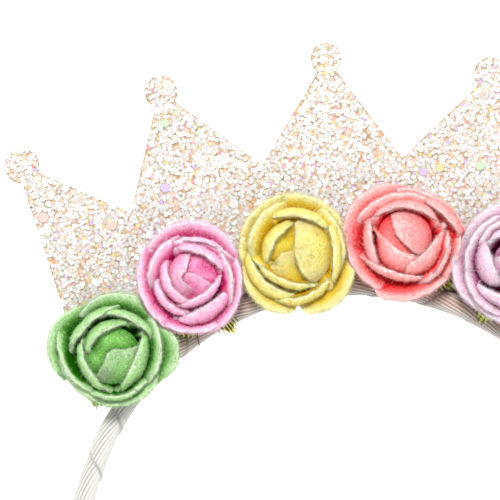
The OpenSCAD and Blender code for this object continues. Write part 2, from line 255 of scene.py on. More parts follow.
# Each flake's distance from its middle, which sets its painted rim shade
spot = add(tree, "GeometryNodeInputPosition")
reach = add(tree, "ShaderNodeVectorMath", {0: spot.outputs[0]}, operation="LENGTH")
reach = add(tree, "ShaderNodeMath", {0: reach.outputs["Value"], 1: given["Flake radius"]}, operation="DIVIDE")
hexagon = add(tree, "GeometryNodeStoreNamedAttribute",
              {"Geometry": hexagon.outputs["Mesh"], "Name": "flake_rim_shade", "Value": reach.outputs[0]},
              data_type="FLOAT", domain="POINT")
down = add(tree, "ShaderNodeMath", {0: given["Tilt"], 1: -1}, operation="MULTIPLY")
low_turn = add(tree, "ShaderNodeCombineXYZ", {"X": down.outputs[0], "Y": down.outputs[0], "Z": 0})
high_turn = add(tree, "ShaderNodeCombineXYZ", {"X": given["Tilt"], "Y": given["Tilt"], "Z": 6.283})
turn = add(tree, "FunctionNodeRandomValue",
           {0: low_turn.outputs[0], 1: high_turn.outputs[0], "Seed": 3}, data_type="FLOAT_VECTOR")
size = add(tree, "FunctionNodeRandomValue", {2: FLAKE_SIZES[0], 3: FLAKE_SIZES[1], "Seed": 4}, data_type="FLOAT")
placed = add(tree, "GeometryNodeInstanceOnPoints",
             {"Points": kept.outputs[0], "Instance": hexagon.outputs[0], "Rotation": turn.outputs[0],
              "Scale": size.outputs[1]})
shade = add(tree, "FunctionNodeRandomValue", {2: 0.0, 3: 1.0, "Seed": 6}, data_type="FLOAT")
lift = add(tree, "ShaderNodeMapRange",
           {"Value": shade.outputs[1], "To Min": FLAKE_LIFTS[0], "To Max": FLAKE_LIFTS[1]})
lift = add(tree, "ShaderNodeCombineXYZ", {"Z": lift.outputs[0]})
lifted = add(tree, "GeometryNodeTranslateInstances",
             {"Instances": placed.outputs[0], "Translation": lift.outputs[0], "Local Space": False})
toned = add(tree, "GeometryNodeStoreNamedAttribute",
            {"Geometry": lifted.outputs[0], "Name": "flake_tone", "Value": shade.outputs[1]},
            data_type="FLOAT", domain="INSTANCE")
real = add(tree, "GeometryNodeRealizeInstances", {"Geometry": toned.outputs[0]})
coated = add(tree, "GeometryNodeSetMaterial", {"Geometry": real.outputs[0], "Material": given["Finish"]})
add(tree, "NodeGroupOutput", {"Geometry": coated.outputs[0]})


def grow(obj, tree, **values):
    modifier = obj.modifiers.new(tree.name, "NODES")
    modifier.node_group = tree
    named = {item.name: item.identifier for item in tree.interface.items_tree if item.in_out == "INPUT"}
    for name, value in values.items():
        modifier[named[name.replace("_", " ")]] = value
    obj.update_tag()
    bpy.context.view_layer.update()
    made = bpy.data.meshes.new_from_object(obj.evaluated_get(bpy.context.evaluated_depsgraph_get()))
    obj.modifiers.remove(modifier)
    obj.data = made


grow(flakes, tree, Spacing=FLAKE_SPACING, Flake_radius=FLAKE_R, Edge_margin=FLAKE_MARGIN, Tilt=FLAKE_TILT,
     Seed=11, Finish=flake_foil)
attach(flakes, "root")

bead_tree, given = new_growth("cut_edge", Thickness="Float", Finish="Material")
sides = add(bead_tree, "GeometryNodeInputMeshEdgeNeighbors")
is_rim = add(bead_tree, "FunctionNodeCompare", {"A": sides.outputs[0], "B": 2}, data_type="INT",
             operation="LESS_THAN")
outline = add(bead_tree, "GeometryNodeMeshToCurve", {"Mesh": given["Geometry"], "Selection": is_rim.outputs[0]})
bead = add(bead_tree, "GeometryNodeCurvePrimitiveCircle", {"Resolution": 6, "Radius": given["Thickness"]})
bead = add(bead_tree, "GeometryNodeCurveToMesh", {"Curve": outline.outputs[0], "Profile Curve": bead.outputs[0]})
coated = add(bead_tree, "GeometryNodeSetMaterial", {"Geometry": bead.outputs[0], "Material": given["Finish"]})
add(bead_tree, "NodeGroupOutput", {"Geometry": coated.outputs[0]})
grow(cut_edge, bead_tree, Thickness=CUT_BEAD_R, Finish=cut_card)
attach(cut_edge, "root")


def mark(obj, name, values):
    obj.data.attributes.new(name, "FLOAT", "POINT").data.foreach_set("value", values)


large_points, large_faces, large_tones, large_rim_shades = [], [], [], []
for x, y, r, tone_value in LARGE_FLAKES:
    first = len(large_points)
    large_points.append((x * MM, y * MM, sheet_top + LARGE_LIFT * MM))
    for k in range(6):
        a = math.radians(60 * k + 37 * x)
        large_points.append((x * MM + r * MM * math.cos(a), y * MM + r * MM * math.sin(a),
                             sheet_top + (LARGE_LIFT + LARGE_SLOPE * math.cos(a)) * MM))
        large_faces.append((first, first + 1 + k, first + 1 + (k + 1) % 6))
    large_tones += [tone_value] * 7
    # Painted shade at each large flake's rim
    large_rim_shades += [0.3] + [0.95] * 6
large_flakes = new_object("large_flakes", large_points, large_faces, flake_foil, smooth=False)
mark(large_flakes, "flake_tone", large_tones)
mark(large_flakes, "flake_rim_shade", large_rim_shades)
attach(large_flakes, "root")

# Wound band
# A springy core wound with one off-white grosgrain ribbon. Each turn laps the last one with a plain
# selvage edge across the front, and the ribs run nearly along the band. Lengths are in mm.

ARCH_Y = -38.09
BAND_MID_R = 68.9
BAND_HALF_DEPTH = 2.4
BAND_HALF_THICK = 1.8
BAND_CENTRE_Z = 4.05
LEG_LEN = 54
LEG_CURVE_R = 120
# How far the legs shift inward, and angles from the top between which they do and the roses and their
# painted shade on the ribbon end
LEG_SHIFT = 0.25
LEG_SHIFT_ARC = (1.0, 1.2)
ROSES_END_ARC = (0.86, 0.94)
# Length over which an end rounds over, and the share of the section left at its tip
END_LEN = 3
END_SHARE = 0.45
WIND_PITCH = 13
WIND_STEP = 0.3
WIND_LAP = 1.3
TUCK_DROP = 0.1
LAP_PHASE = 0.42
RIBBON_THICK = 0.3
RIBBON_PROUD = 0.05
SELVAGE_ROUND, SELVAGE_DROP = 0.3, 0.1
RIB_LEAN = math.tan(math.radians(5))
RIB_BOW = 0.9
RIB_PITCH = 0.66
PICK_PITCH = 0.30
# Blotches in the roses' painted shade on the ribbon along a metre: 0.32 each mm
SHADE_BLOTCHES = 0.32 / MM
# Points across the ribbon from its upper edge, closer where it rounds and folds
ACROSS = [0, 0.15, 0.45, 0.8, 1.2, 2, 3, 4.5, 6, 7.5, 9, 10.5, 12, WIND_PITCH, WIND_PITCH + WIND_LAP]
TURN_STEPS = 44
CORE_SIDES, CORE_STEPS = 16, 160
CORE_PROUD = -0.15
ARCH_LEN = math.pi * BAND_MID_R
PATH_LEN = ARCH_LEN + 2 * LEG_LEN
AROUND_LEN = 2 * math.pi * math.sqrt((BAND_HALF_DEPTH ** 2 + BAND_HALF_THICK ** 2) / 2)


def part_way(value, start, end):
    return max(0, min(1, (value - start) / (end - start)))


def from_top(s):
    return abs(s - PATH_LEN / 2) / BAND_MID_R


def band_place(s):
    if s < LEG_LEN or s > LEG_LEN + ARCH_LEN:
        a = (LEG_LEN - s if s < LEG_LEN else s - LEG_LEN - ARCH_LEN) / LEG_CURVE_R
        x = BAND_MID_R - LEG_CURVE_R + LEG_CURVE_R * math.cos(a)
        y = -LEG_CURVE_R * math.sin(a)
        return (x, y, -a) if s < LEG_LEN else (-x, y, math.pi + a)
    a = (s - LEG_LEN) / BAND_MID_R
    return BAND_MID_R * math.cos(a), BAND_MID_R * math.sin(a), a


def band_point(s, around, proud):
    s = max(0, min(PATH_LEN, s))
    near_end = part_way(min(s, PATH_LEN - s), 0, END_LEN)
    shut = END_SHARE + (1 - END_SHARE) * math.sqrt(1 - (1 - near_end) ** 2)
    x, y, a = band_place(s)
    inward = LEG_SHIFT * part_way(from_top(s), *LEG_SHIFT_ARC)
    out = (BAND_HALF_DEPTH + proud) * shut * math.cos(around) - inward
    up = (BAND_HALF_THICK + proud) * shut * math.sin(around)
    return ((x + out * math.cos(a)) * MM, (y + out * math.sin(a) + ARCH_Y) * MM, (BAND_CENTRE_Z + up) * MM)


def tube_faces(rows, sides, base=0, turned=False):
    faces = []
    for row in range(rows):
        for k in range(sides):
            a, b = base + row * sides + k, base + row * sides + (k + 1) % sides
            faces.append((a, b, b + sides, a + sides) if turned else (a, a + sides, b + sides, b))
    return faces


# Woven polyester with ribs along the band and fine picks across: soft, with a faint sheen, and flattened where
# it is pulled round the legs. The grooves of the weave are painted darker as painted shade, and the arch under
# the roses is painted browner and darker as their painted shade. The picks are drawn coarser than real so that they
# show.
grosgrain, tree, shader = new_material("grosgrain_ribbon")
spread = add(tree, "ShaderNodeSeparateXYZ", {"Vector": add(tree, "ShaderNodeUVMap", uv_map="ribbon").outputs[0]})
ribs = add(tree, "ShaderNodeMath", {0: spread.outputs["X"], 1: math.tau / RIB_PITCH}, operation="MULTIPLY")
ribs = add(tree, "ShaderNodeMath", {0: ribs.outputs[0]}, operation="SINE")
body = add(tree, "ShaderNodeMapRange", {"Value": spread.outputs["Y"], "From Min": 0.7, "From Max": 1.0})
ribs = add(tree, "ShaderNodeMath", {0: ribs.outputs[0], 1: body.outputs[0]}, operation="MULTIPLY")
flat = add(tree, "ShaderNodeAttribute", attribute_name="pulled_flat")
depth = add(tree, "ShaderNodeMath", {0: flat.outputs["Fac"], 1: -0.62, 2: 1}, operation="MULTIPLY_ADD")
ribs = add(tree, "ShaderNodeMath", {0: ribs.outputs[0], 1: depth.outputs[0]}, operation="MULTIPLY")
picks = add(tree, "ShaderNodeMath", {0: spread.outputs["Y"], 1: math.tau / PICK_PITCH}, operation="MULTIPLY")
picks = add(tree, "ShaderNodeMath", {0: picks.outputs[0]}, operation="SINE")
loud = add(tree, "ShaderNodeMath", {0: body.outputs[0], 1: -0.75, 2: 0.97}, operation="MULTIPLY_ADD")
picks = add(tree, "ShaderNodeMath", {0: picks.outputs[0], 1: loud.outputs[0]}, operation="MULTIPLY")
weave = add(tree, "ShaderNodeMath", {0: ribs.outputs[0], 1: picks.outputs[0]}, operation="ADD")
# Painted shade: the grooves between the ribs and picks are painted darker
groove_shade = add(tree, "ShaderNodeMapRange", {"Value": weave.outputs[0], "From Min": -0.42, "From Max": -1.0})
place = add(tree, "ShaderNodeTexCoord").outputs["Object"]
blotch = add(tree, "ShaderNodeTexNoise", {"Vector": place, "Scale": SHADE_BLOTCHES, "Detail": 5})
# Painted shade: on the arch under the roses the ribbon is painted browner and darker, in blotches
rose_shade = add(tree, "ShaderNodeAttribute", attribute_name="painted_rose_shade")
tinge = add(tree, "ShaderNodeMath", {0: blotch.outputs["Fac"], 1: 1.2, 2: 0.1}, operation="MULTIPLY_ADD",
            use_clamp=True)
rose_shade = add(tree, "ShaderNodeMath", {0: rose_shade.outputs["Fac"], 1: tinge.outputs[0]}, operation="MULTIPLY")
crest = add(tree, "ShaderNodeMix", {"Factor": rose_shade.outputs[0], 6: colour("#c3c2bc"), 7: colour("#b49281")},
            data_type="RGBA")
dark = add(tree, "ShaderNodeMix", {"Factor": rose_shade.outputs[0], 6: colour("#7d776e"), 7: colour("#634738")},
           data_type="RGBA")
thread = add(tree, "ShaderNodeMix", {"Factor": groove_shade.outputs[0], 6: crest.outputs[2], 7: dark.outputs[2]},
             data_type="RGBA")
tree.links.new(thread.outputs[2], shader.inputs["Base Color"])
bump = add(tree, "ShaderNodeBump", {"Height": weave.outputs[0], "Strength": 0.8, "Distance": 0.12 * MM})
tree.links.new(bump.outputs["Normal"], shader.inputs["Normal"])
shader.inputs["Roughness"].default_value = 0.62
shader.inputs["Sheen Weight"].default_value = 0.25

ribbon_points, ribbon_uvs, ribbon_flat, ribbon_rose_shade = [], [], [], []
first, last = -TURN_STEPS, math.ceil(PATH_LEN / WIND_PITCH) * TURN_STEPS
for step in range(first, last + 1):
    around = 2 * math.pi * (step / TURN_STEPS + LAP_PHASE)
    for inner in (0, 1):
        for w in (reversed(ACROSS) if inner else ACROSS):
            s = WIND_PITCH * step / TURN_STEPS + w
            proud = WIND_STEP * (1 - w / WIND_PITCH) - RIBBON_THICK * inner + RIBBON_PROUD
            proud -= SELVAGE_DROP * (1 - min(1, w / SELVAGE_ROUND)) ** 2 + (TUCK_DROP if w > WIND_PITCH else 0)
            ribbon_points.append(band_point(PATH_LEN - s, -around, proud))
            # Painted shade of the roses: browner on the arch, less so on the band's inner side, none past the roses
            past_roses = part_way(from_top(s), *ROSES_END_ARC)
            ribbon_rose_shade.append((1 - past_roses) * (1 + 1.1 * min(0, math.cos(around) + 0.15)))
            ribbon_flat.append(past_roses * max(0, min(1, 0.2 - 1.6 * math.cos(around))))
            ribbon_uvs.append((AROUND_LEN * step / TURN_STEPS + s * RIB_LEAN + RIB_BOW * (w / WIND_PITCH) ** 2, w))
ribbon = new_object("wound_ribbon", ribbon_points, tube_faces(last - first, 2 * len(ACROSS)), grosgrain)
uv_layer = ribbon.data.uv_layers.new(name="ribbon")
for corner in ribbon.data.loops:
    uv_layer.data[corner.index].uv = ribbon_uvs[corner.vertex_index]
mark(ribbon, "pulled_flat", ribbon_flat)
mark(ribbon, "painted_rose_shade", ribbon_rose_shade)
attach(ribbon, "root")
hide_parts("band")

core_points = [
    band_point(PATH_LEN * step / CORE_STEPS, 2 * math.pi * k / CORE_SIDES, CORE_PROUD)
    for step in range(CORE_STEPS + 1) for k in range(CORE_SIDES)
]
core_faces = tube_faces(CORE_STEPS, CORE_SIDES, turned=True)
core_faces.append(tuple(range(CORE_SIDES - 1, -1, -1)))
core_faces.append(tuple(CORE_STEPS * CORE_SIDES + k for k in range(CORE_SIDES)))
core = new_object("band_core", core_points, core_faces, grosgrain)
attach(core, "root")

# Felt roses
# Each rose is a rolled bud and three rings of wool-felt petals, pressed to shape and glued at the foot.
# The cut rims are fuzzy and painted pale, partly as painted highlight, and the colour is painted
# deepest down in the folds as painted shade.

# Millimetres in a rose unit, and degrees by which the photograph's azimuths are turned
ROSE_UNIT = 1.06
PHOTO_TURN = 3
# Roses from the viewer's left. The outer petals of each dip where the next one lies over them
ROSES = ("green", "pink", "yellow", "coral", "lilac", "far_green")
LAP_REACH = 14.4
LAP_FADE = 2
LAP_DROP = 3.4
# Colours: the rim's, partly painted highlight; the face's; and the fold's, which is painted shade
FELT_COLOURS = {  # rim, face, fold
    "green": ("#f2fde4", "#82c65a", "#185a03"),
    "pink": ("#fff6fa", "#fda4d0", "#b6145a"),
    "yellow": ("#fdfad8", "#e2d64c", "#c49604"),
    "coral": ("#ffeeea", "#ff8e8d", "#c81a22"),
    "lilac": ("#fff8fc", "#ebbfd5", "#802a58"),
}
# How far the petals' inner sides thicken below the rims in mm, so that the folds are shallow
FOLD_FILL = {"green": 0.3, "pink": 1.2, "yellow": 1.2, "coral": 1.0, "lilac": 0.4}
# Rings: radius and height of the foot and height of the rim in mm, how late a petal flares, and how fast
# the painted fold shade deepens and the pale rim, partly painted highlight, ends down the inner side
RINGS = {
    "inner": (4.2, 1.95, 15.0, 1.2, 4.2, 5),
    "middle": (5.8, 1.95, 14.2, 1.25, 4.2, 5),
    "outer": (6.8, 7.75, 12.4, 1.15, 2.7, 3.5),
}
# Petals: azimuth and half angle in the photograph's degrees; rim's distance at its clockwise end, its
# middle and its other end, and width of the face that leans in over the rose, in rose units; and for a
# petal that stops at a notch, the notch's side
PETALS = {
    "green": {
        "inner": ((-25, 56, 9.5, 5.8, 8.7, 2.5), (122, 68, 8.3, 5.0, 5.9, 1.5), (212, 55, 7.6, 6.75, 9.6, 1.1)),
        "middle": ((131, 49, 10.9, 8.4, 10.0, 1.0), (61, 48, 10.4, 8.7, 9.2, 1.0), (-2, 42, 11.1, 11.4, 12.0, 0.1),
                   (280, 42, 10.9, 10.6, 10.7, 0.5), (203, 46, 13.4, 11.4, 10.3, 0.4)),
        "outer": ((162, 36, 12.6, 14.9, 14.0, 0), (82, 49, 12.8, 13.5, 11.4, 0), (-2, 26, 13.4, 15.4, 13.6, 0),
                  (222, 36, 12.9, 11.8, 12.2, 0.2), (292, 42, 12.2, 12.7, 12.3, 0.2)),
    },
    "pink": {
        "inner": ((207, 68, 7.6, 4.6, 5.2, 1.5), (-54, 63, 6.9, 4.6, 7.6, 1.3), (64, 56, 8.2, 6.6, 8.0, 1.1)),
        "middle": ((224, 48, 8.1, 7.5, 8.3, 0.9), (-61, 50, 10.0, 7.4, 9.2, 2.6), (8, 43, 11.2, 9.4, 9.7, 0.4),
                   (75, 50, 11.0, 9.2, 9.7, 0.5), (148, 40, 10.4, 9.8, 9.6, 0)),
        "outer": ((85, 58, 12.2, 13.3, 12.2, 0), (198, 50, 12.8, 12.0, 12.6, 0), (268, 34, 12.2, 12.3, 12.6, 0.2),
                  (-20, 44, 13.2, 12.1, 11.7, 0.2)),
    },
    "yellow": {
        "inner": ((150, 57, 6.6, 5.6, 7.7, 1.7), (246, 56, 10.4, 7.5, 9.6, 0.9), (81, 53, 9.2, 8.2, 10.1, 1.2),
                  (0, 46, 11.9, 8.7, 10.4, 1.2)),
        "middle": ((146, 42, 11.8, 11.3, 10.9, 0), (226, 46, 11.4, 10.2, 10.4, 1.9), (284, 44, 12.4, 10.7, 9.8, 0.8),
                   (20, 42, 11.2, 11.0, 11.6, 0.3)),
        "outer": ((146, 46, 13.2, 13.4, 12.8, 0), (60, 56, 12.0, 12.7, 13.2, 0), (233, 38, 12.8, 14.8, 14.0, 0, 1),
                  (311, 38, 14.0, 15.3, 13.4, 0, -1)),
    },
    "coral": {
        "inner": ((237, 85, 9.9, 2.4, 4.3, 4.0), (-43, 68, 6.5, 4.5, 10.2, 2.7), (89, 59, 8.9, 8.7, 10.2, 1.0)),
        "middle": ((248, 54, 11.4, 7.3, 9.1, 1.1), (-28, 42, 9.8, 9.5, 9.9, 0.5), (107, 48, 11.5, 11.9, 12.9, 0.1),
                   (38, 32, 13.0, 11.0, 10.9, 1.5), (182, 42, 11.0, 8.1, 8.4, 1.4)),
        "outer": ((142, 44, 13.6, 15.4, 13.8, 0), (55, 46, 14.3, 12.6, 13.2, 0), (208, 30, 13.8, 13.2, 12.2, 0),
                  (280, 44, 14.2, 12.6, 12.2, 0, -1), (-12, 34, 12.0, 12.2, 13.2, 0.2)),
    },
    "lilac": {
        "inner": ((185, 46, 10.1, 5.7, 5.6, 3.5), (100, 46, 7.8, 7.8, 9.0, 0.8), (245, 44, 10.6, 8.0, 8.4, 2.1),
                  (-20, 60, 7.8, 7.2, 7.5, 1.2)),
        "middle": ((122, 36, 10.9, 10.9, 10.2, 0.2), (150, 44, 12.2, 12.3, 11.8, 0.2),
                   (218, 38, 12.0, 12.4, 12.2, 0.2), (23, 44, 10.6, 10.4, 10.6, 0.6),
                   (300, 44, 10.8, 10.4, 10.6, 1.0)),
        "outer": ((118, 40, 14.3, 14.5, 13.8, 0), (188, 44, 13.6, 15.0, 13.2, 0), (255, 42, 13.2, 13.4, 13.8, 0.2),
                  (-22, 36, 12.4, 12.2, 12.4, 0), (38, 42, 13, 13.2, 13.6, 0)),
    },
}
# Buds: place of the middle and radius in rose units, then folds as [points of the lap's edge, rise in mm,
# width in mm], where the felt is raised on the right-hand side of the edge's direction, then hollows as
# (x, y, radius in rose units, depth in mm)
# Buds are painted pale near the raised side of each lap's edge, as painted highlight, and darker on the low side and
# in the hollows, as painted shade
BUDS = {
    "green": (0.1, -0.9, 6.7,
              (([(-3.2, -5.2), (-2.6, -4.0), (-1.6, -2.3), (-0.9, -0.3), (0.6, 0.6), (3.0, 0.5), (5.5, 1.2)],
                1.6, 3.0),),
              ((-3.9, 1.2, 2.4, 1.0), (-1.4, -5.8, 2.2, 1.2))),
    "pink": (0.4, 0.8, 5.8,
             (([(-0.1, 5.4), (-0.6, 3.4), (-1.0, 1.7), (-1.9, 1.2), (-2.1, 0.3), (-1.6, -0.5), (-0.6, -1.2)],
               1.1, 2.0),
              ([(-1.0, 1.6), (0.6, 1.5), (2.5, 0.6), (4.3, -0.6)], 0.8, 1.2)),
             ((0.4, -3.1, 2.0, 1.4), (3.3, 2.9, 2.6, 0.9))),
    "yellow": (0.5, -0.5, 7.9,
               (([(4.6, -7.8), (3.0, -6.9), (1.2, -5.1), (0.2, -3.0), (-0.5, -0.2), (-0.35, 3.4), (-0.2, 7.2)],
                 2.2, 6.0),
                ([(-5.2, -2.6), (-4.6, -1.9), (-3.4, -0.5), (-0.5, 0.2)], 1.3, 3.6)),
               ((-1.9, 3.0, 2.0, 0.9), (-5.5, -2.9, 0.9, 2.0))),
    "coral": (-0.5, 1.4, 6.4,
              (([(2.6, -2.4), (1.0, -1.4), (-1.2, 0.6), (-2.4, 2.0), (-3.1, 3.8), (-3.6, 6.4)], 1.3, 4.0),),
              ((3.6, -0.8, 2.8, 0.9),)),
    "lilac": (0, 0, 6.0,
              (([(-4.2, -3.0), (-1.6, -0.8), (-0.6, 1.4), (-1.4, 4.4)], 1.0, 2.6),
               ([(-5.2, 1.8), (-3.0, 2.6), (0.0, 2.4)], 0.8, 1.6)),
              ((2.2, -2.2, 2.0, 0.8),)),
}
FELT_THICK = 1.25
PETAL_ACROSS = 34
PETAL_UP = 14
RIM_STEPS = 5
# Angle by which a petal's ends run on under its neighbours
PETAL_LAP = 14
# Share of the wall's thickness that is gone at a petal's ends, and the least painted light that its outward side
# keeps low down
THIN_ENDS = 0.92
LOW_WALL_LIGHT = 0.62
# Rows crowd towards the rim by this power, and the wall's slope is taken over this share of its height
ROW_CROWDING = 1.6
SLOPE_STEP = 0.02
# A petal that leans in is widest at this share of its height, and leans fully past this width of face
BELLY_AT = 0.64
FULL_LEAN = 0.7
# Notch: shares of the petal's half angle where it starts to cut in and where the petal stops, depth in mm
NOTCH_FROM, NOTCH_END, NOTCH_DEEP = 0.8, 1.02, 1.3
# Unevenness of hand-pressed felt: how deep in mm, and how fine in waves for each mm
THICK_WAVES = ((0.30, 0.25), (0.10, 0.9))
SWAY_WAVES = ((0.30, 0.6),)
DENT_WAVES = ((0.10, 1.7),)
RIM_WAVES = ((0.25, 0.5), (0.12, 1.5))
# Buds: points around and from the rim in, heights of foot, waist and shoulder, and the dome's rise in mm
BUD_AROUND, BUD_OUT = 128, 46
BUD_FOOT_Z, BUD_WAIST_Z, BUD_SHOULDER_Z = 1.95, 6.0, 13.0
BUD_DOME = 2.4
# Lumps and fibres of the felt along a metre: 0.26 and 2.2 each mm
FELT_LUMPS = 0.26 / MM
FELT_GRAIN = 2.2 / MM
# Loose fibres on a square metre of felt that is painted lit, where a cut rim has up to three times as many, their
# length and width, and the most that they lean to either side in radians
FIBRES = 6.0e6
FIBRE_LEN = 0.9 * MM
FIBRE_WIDTH = 0.05 * MM
FIBRE_BEND = 1.25


# Wool felt, needled and pressed: quite matt, grainy and a little translucent, so that light in a fold takes
# the fold's deep colour. Down the folds the colour is painted deeper as painted shade; cut rims and loose fibres
# are painted paler, partly as painted highlight, and pale specks show only where the felt is painted lit
def felt_material(name, rim, face, fold):
    material, tree, shader = new_material(name + "_wool_felt")
    place = add(tree, "ShaderNodeTexCoord").outputs["Object"]
    rise = add(tree, "ShaderNodeAttribute", attribute_name="felt_painted_light").outputs["Fac"]
    edge = add(tree, "ShaderNodeAttribute", attribute_name="felt_pale_rim_and_highlight").outputs["Fac"]
    cloud = add(tree, "ShaderNodeTexNoise", {"Vector": place, "Scale": FELT_LUMPS, "Detail": 5, "Roughness": 0.6})
    uneven = add(tree, "ShaderNodeMath", {0: cloud.outputs["Fac"], 1: 0.30, 2: -0.15}, operation="MULTIPLY_ADD")
    fibre = add(tree, "ShaderNodeTexNoise", {"Vector": place, "Scale": FELT_GRAIN, "Detail": 5, "Roughness": 0.8,
                                             "Distortion": 1.5})
    grain = add(tree, "ShaderNodeMath", {0: fibre.outputs["Fac"], 1: 1.2, 2: -0.6}, operation="MULTIPLY_ADD")
    level = add(tree, "ShaderNodeMath", {0: rise, 1: uneven.outputs[0]}, operation="ADD")
    level = add(tree, "ShaderNodeMath", {0: level.outputs[0], 1: grain.outputs[0]}, operation="ADD")
    ramp = add(tree, "ShaderNodeValToRGB", {"Fac": level.outputs[0]}, stops=((0.28, fold), (0.88, face)))
    speck = add(tree, "ShaderNodeMath", {0: fibre.outputs["Fac"], 1: 4.2, 2: -2.0}, operation="MULTIPLY_ADD")
    lit_share = add(tree, "ShaderNodeMath", {0: rise, 1: 3}, operation="POWER")
    speck = add(tree, "ShaderNodeMath", {0: speck.outputs[0], 1: lit_share.outputs[0]}, operation="MULTIPLY")
    pale = add(tree, "ShaderNodeMath", {0: edge, 1: 0.85, 2: speck.outputs[0]}, operation="MULTIPLY_ADD",
               use_clamp=True)
    mixed = add(tree, "ShaderNodeMix", {"Factor": pale.outputs[0], 6: ramp.outputs["Color"], 7: colour(rim)},
                data_type="RGBA")
    tree.links.new(mixed.outputs[2], shader.inputs["Base Color"])
    bump = add(tree, "ShaderNodeBump", {"Height": fibre.outputs["Fac"], "Strength": 0.9, "Distance": 0.6 * MM})
    tree.links.new(bump.outputs["Normal"], shader.inputs["Normal"])
    shader.inputs["Roughness"].default_value = 0.9
    shader.inputs["Specular IOR Level"].default_value = 0
    deep = colour(fold)[:3]
    shader.inputs["Subsurface Weight"].default_value = 0.4
    shader.inputs["Subsurface Radius"].default_value = [0.3 + 0.7 * c / max(deep) for c in deep]
    shader.inputs["Subsurface Scale"].default_value = 0.8 * MM
    return material


def between(low, middle, high, u):
    return middle + (high - low) / 2 * u + ((high + low) / 2 - middle) * u * u


def eased(share):
    return share * share * (3 - 2 * share)


def waves(here, layers):
    return sum(deep * noise.noise(here * fine) for deep, fine in layers)


# Radius and height of a petal's wall in mm, at u half angles from its middle and the share v of its height
def petal_profile(ring, row, u, v):
    foot, floor, rim_height, soon = ring[:4]
    half, start, middle, end, face = row[1:6]
    tall = rim_height - floor
    tucked = max(0, abs(u) - 1) * half
    side = max(-1, min(1, u))
    rim = ROSE_UNIT / between(1 / start, 1 / middle, 1 / end, side) - (0.06 * tucked if ring is RINGS["outer"] else 0)
    if len(row) > 6:
        rim -= NOTCH_DEEP * (max(0, u * row[6] - NOTCH_FROM) / (1 - NOTCH_FROM)) ** 2
    top = rim_height - tall * (0.05 * side * side + 0.13 * side ** 4) - min(0.035 * tucked ** 2, 0.6 * tall)
    lean = face * ROSE_UNIT * max(0, 1 - side * side) ** 0.8
    flared = foot + (rim - foot) * v ** soon
    leaning = (foot * (v - BELLY_AT) * (v - 1) / BELLY_AT - (rim + lean) * v * (v - 1) / (BELLY_AT * (1 - BELLY_AT))
               + rim * v * (v - BELLY_AT) / (1 - BELLY_AT))
    share = eased(min(1, lean / (FULL_LEAN * ROSE_UNIT)))
    r = flared + (leaning - flared) * share
    return r, floor + (top - floor) * (1 - (1 - v) ** (1.4 + 0.9 * share))


